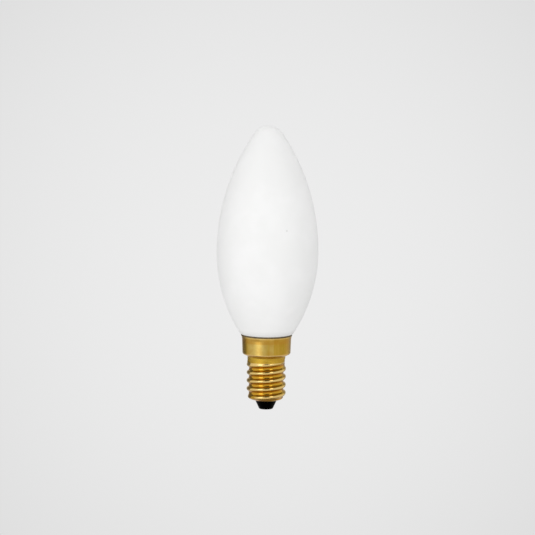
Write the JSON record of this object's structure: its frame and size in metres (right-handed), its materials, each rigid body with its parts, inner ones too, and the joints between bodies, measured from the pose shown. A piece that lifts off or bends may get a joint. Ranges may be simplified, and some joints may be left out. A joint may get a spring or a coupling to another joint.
{
  "type": "candle bulb",
  "caption": "Candle bulb with a white satin glass envelope that tapers to a round tip, on a small brass screw cap with a rolled thread, a black insulator and a soldered end contact.",
  "frame": {"origin": "centre of the flat underside of the solder on the centre contact, the bulb's lowest point", "axes": "+Z along the bulb's axis from the contact to the glass tip; -Y faces the picture's viewer"},
  "size_m": [0.035, 0.035, 0.0983],
  "materials": {
    "opal_glass": "satin white, opaque",
    "brass": "bright, a little tarnished",
    "cement": "matt",
    "black_glass": "gloss, opaque",
    "solder": "satin"
  },
  "bodies": {
    "root": {"glass_envelope": "opal_glass", "screw_cap": "brass", "capping_cement": "cement", "insulator": "black_glass", "centre_contact": "brass", "contact_solder": "solder"}
  },
  "joints": []
}
